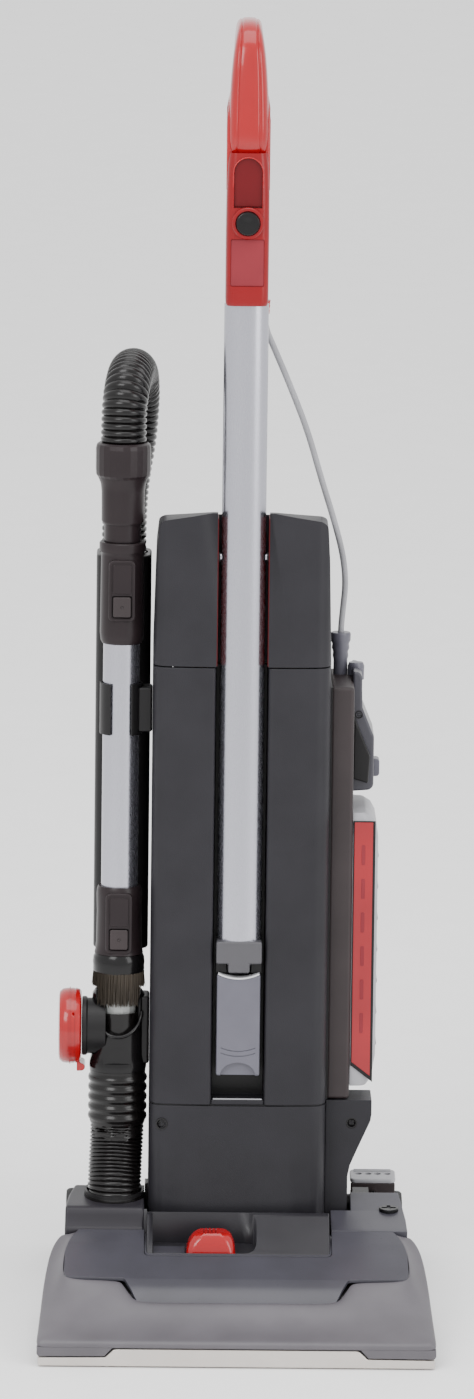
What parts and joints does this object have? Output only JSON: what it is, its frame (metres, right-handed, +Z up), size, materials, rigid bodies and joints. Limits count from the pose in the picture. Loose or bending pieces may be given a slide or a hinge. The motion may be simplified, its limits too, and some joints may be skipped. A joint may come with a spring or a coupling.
{
  "type": "upright vacuum cleaner",
  "caption": "Upright vacuum with a leaning body, tube handle with loop grip, side wand and hose, wide sloping nozzle base and rear wheels.",
  "frame": {"origin": "on the floor, at the middle of the machine's footprint box, with the body in its parked upright position", "axes": "+Z up, -Y towards the front of the nozzle, +X to the right seen from the front"},
  "size_m": [0.345, 0.4106, 1.1286],
  "materials": {
    "charcoal_shell": "moulded with a fine spark texture",
    "side_plastic": "moulded, fine texture",
    "black_plastic": "moulded, satin",
    "hood_plastic": "satin gloss",
    "bumper_plastic": "soft matt",
    "nozzle_metal": "satin silver",
    "red_plastic": "glossy",
    "tube_metal": "satin, drawn",
    "pale_plastic": "satin",
    "smoke_plastic": "satin gloss",
    "wand_plastic": "satin",
    "hose_plastic": "corrugated, satin",
    "bristle": "stiff hair",
    "switch_black": "glossy",
    "cord_rubber": "matt",
    "wheel_rubber": "matt",
    "roll_wood": "satin",
    "motor_metal": "satin",
    "paper": "matt paper"
  },
  "bodies": {
    "base": {"chassis_front": "black_plastic", "arm_left": "black_plastic", "arm_right": "black_plastic", "nozzle_plate": "nozzle_metal", "nozzle_guard": "nozzle_metal", "bumper": "bumper_plastic", "hood": "hood_plastic", "rear_hood_left": "hood_plastic", "rear_hood_right": "hood_plastic", "knob_console": "black_plastic", "brush_motor": "motor_metal", "drive_belt": "wheel_rubber"},
    "brush_roll": {"brush_core": "roll_wood", "brush_bristles": "bristle"},
    "motor_pulley": {"motor_pulley": "motor_metal"},
    "wheel_left": {"rear_wheel_left": "wheel_rubber"},
    "wheel_right": {"rear_wheel_right": "wheel_rubber"},
    "carriage": {"roller_carriage": "black_plastic"},
    "roller_left": {"front_roller_left": "wheel_rubber"},
    "roller_right": {"front_roller_right": "wheel_rubber"},
    "height_knob": {"height_knob": "red_plastic"},
    "release_pedal": {"release_pedal": "pale_plastic"},
    "upright": {"rear_shell": "charcoal_shell", "motor_cover": "charcoal_shell", "front_panel": "charcoal_shell", "top_cap": "charcoal_shell", "suction_motor": "black_plastic", "dust_bag": "paper", "hepa_filter": "paper", "side_housing": "side_plastic", "handle_tube": "tube_metal", "tube_collar": "pale_plastic", "cross_pin": "tube_metal", "switch_housing": "red_plastic", "cord_inlet": "black_plastic", "handle_grip": "red_plastic", "elbow": "black_plastic", "ribbed_cuff": "hose_plastic", "hose_guide": "black_plastic", "wand_clip": "black_plastic", "cord_grommet": "cord_rubber", "switch_cord": "cord_rubber", "hose_lower": "hose_plastic", "hose_run_lower": "hose_plastic"},
    "switch_button": {"switch_button": "switch_black"},
    "tube_latch": {"tube_latch": "smoke_plastic"},
    "filter_cover": {"filter_cover": "pale_plastic"},
    "filter_latch": {"filter_latch": "black_plastic"},
    "bag_door": {"bag_door": "charcoal_shell"},
    "bag_latch": {"bag_latch": "black_plastic"},
    "cord_hook": {"cord_hook": "black_plastic"},
    "cleanout_cap": {"cleanout_cap": "red_plastic"},
    "wand": {"wand_tube": "tube_metal", "collar_lower": "wand_plastic", "collar_upper": "wand_plastic", "dusting_brush": "bristle", "hose_run_upper": "hose_plastic"},
    "wand_handle": {"wand_handle": "wand_plastic", "hose_loop": "hose_plastic"},
    "wand_button_upper": {"wand_button_upper": "wand_plastic"},
    "wand_button_lower": {"wand_button_lower": "wand_plastic"}
  },
  "joints": [
    {"name": "body_recline", "type": "hinge", "parent": "base", "child": "upright", "pos_m": [0, 0.03465, 0.075], "axis": [-1, 0, 0], "range_deg": [0, 70], "deforming": ["hose_lower"]},
    {"name": "brush_spin", "type": "hinge", "parent": "base", "child": "brush_roll", "pos_m": [0, -0.12535, 0.024], "axis": [1, 0, 0], "continuous": true},
    {"name": "motor_spin", "type": "hinge", "parent": "base", "child": "motor_pulley", "pos_m": [0.118, -0.07735, 0.036], "axis": [1, 0, 0], "continuous": true},
    {"name": "wheel_left_roll", "type": "hinge", "parent": "base", "child": "wheel_left", "pos_m": [-0.139, 0.11465, 0.03], "axis": [1, 0, 0], "continuous": true},
    {"name": "wheel_right_roll", "type": "hinge", "parent": "base", "child": "wheel_right", "pos_m": [0.139, 0.11465, 0.03], "axis": [1, 0, 0], "continuous": true},
    {"name": "carriage_tilt", "type": "hinge", "parent": "base", "child": "carriage", "pos_m": [0, -0.09635, 0.0115], "axis": [-1, 0, 0], "range_deg": [-2.8, 5.1]},
    {"name": "roller_left_roll", "type": "hinge", "parent": "carriage", "child": "roller_left", "pos_m": [-0.11, -0.06335, 0.0112], "axis": [1, 0, 0], "continuous": true},
    {"name": "roller_right_roll", "type": "hinge", "parent": "carriage", "child": "roller_right", "pos_m": [0.11, -0.06335, 0.0112], "axis": [1, 0, 0], "continuous": true},
    {"name": "height_slide", "type": "slide", "parent": "base", "child": "height_knob", "axis": [1, 0, 0], "range_m": [-0.026, 0.014]},
    {"name": "pedal_press", "type": "hinge", "parent": "base", "child": "release_pedal", "pos_m": [0.114, 0.05465, 0.072], "axis": [-1, 0, 0], "range_deg": [0, 8], "stiffness_Nm_per_rad": 2, "springref_deg": -2.86},
    {"name": "switch_press", "type": "slide", "parent": "upright", "child": "switch_button", "axis": [0, 0.9969, -0.0785], "range_m": [0, 0.003], "stiffness_N_per_m": 400, "springref_m": -0.002},
    {"name": "latch_slide", "type": "slide", "parent": "upright", "child": "tube_latch", "axis": [0, -0.0785, -0.9969], "range_m": [0, 0.012], "stiffness_N_per_m": 150, "springref_m": -0.012},
    {"name": "filter_cover_swing", "type": "hinge", "parent": "upright", "child": "filter_cover", "pos_m": [0.1022, 0.11448, 0.30545], "axis": [0, 0.0785, 0.9969], "range_deg": [0, 90]},
    {"name": "filter_latch_slide", "type": "slide", "parent": "upright", "child": "filter_latch", "axis": [0, 0.0785, 0.9969], "range_m": [0, 0.006], "stiffness_N_per_m": 150, "springref_m": -0.004},
    {"name": "bag_door_swing", "type": "hinge", "parent": "upright", "child": "bag_door", "pos_m": [0, 0.1539, 0.32843], "axis": [-1, 0, 0], "range_deg": [0, 100]},
    {"name": "bag_latch_slide", "type": "slide", "parent": "bag_door", "child": "bag_latch", "axis": [0, -0.0785, -0.9969], "range_m": [0, 0.005], "stiffness_N_per_m": 150, "springref_m": -0.004},
    {"name": "hook_turn", "type": "hinge", "parent": "upright", "child": "cord_hook", "pos_m": [0, 0.18825, 0.62464], "axis": [0, 0.9969, -0.0785], "range_deg": [0, 180]},
    {"name": "wand_lift", "type": "slide", "parent": "upright", "child": "wand", "axis": [0, 0.0785, 0.9969], "range_m": [0, 0.09], "deforming": ["hose_run_lower"]},
    {"name": "wand_telescope", "type": "slide", "parent": "wand", "child": "wand_handle", "axis": [0, 0.0785, 0.9969], "range_m": [0, 0.2], "deforming": ["hose_run_upper"]},
    {"name": "button_upper_press", "type": "slide", "parent": "wand", "child": "wand_button_upper", "axis": [0, 0.9969, -0.0785], "range_m": [0, 0.002], "stiffness_N_per_m": 400, "springref_m": -0.002},
    {"name": "button_lower_press", "type": "slide", "parent": "wand", "child": "wand_button_lower", "axis": [0, 0.9969, -0.0785], "range_m": [0, 0.002], "stiffness_N_per_m": 400, "springref_m": -0.002},
    {"name": "cap_swing", "type": "hinge", "parent": "upright", "child": "cleanout_cap", "pos_m": [-0.1367, 0.00707, 0.20888], "axis": [0, -0.9969, 0.0785], "range_deg": [0, 90]}
  ],
  "couplings": [
    {"joint": "motor_spin", "follows": "brush_spin", "ratio": 1},
    {"joint": "carriage_tilt", "follows": "height_slide", "rad_per_m": -3.35}
  ]
}
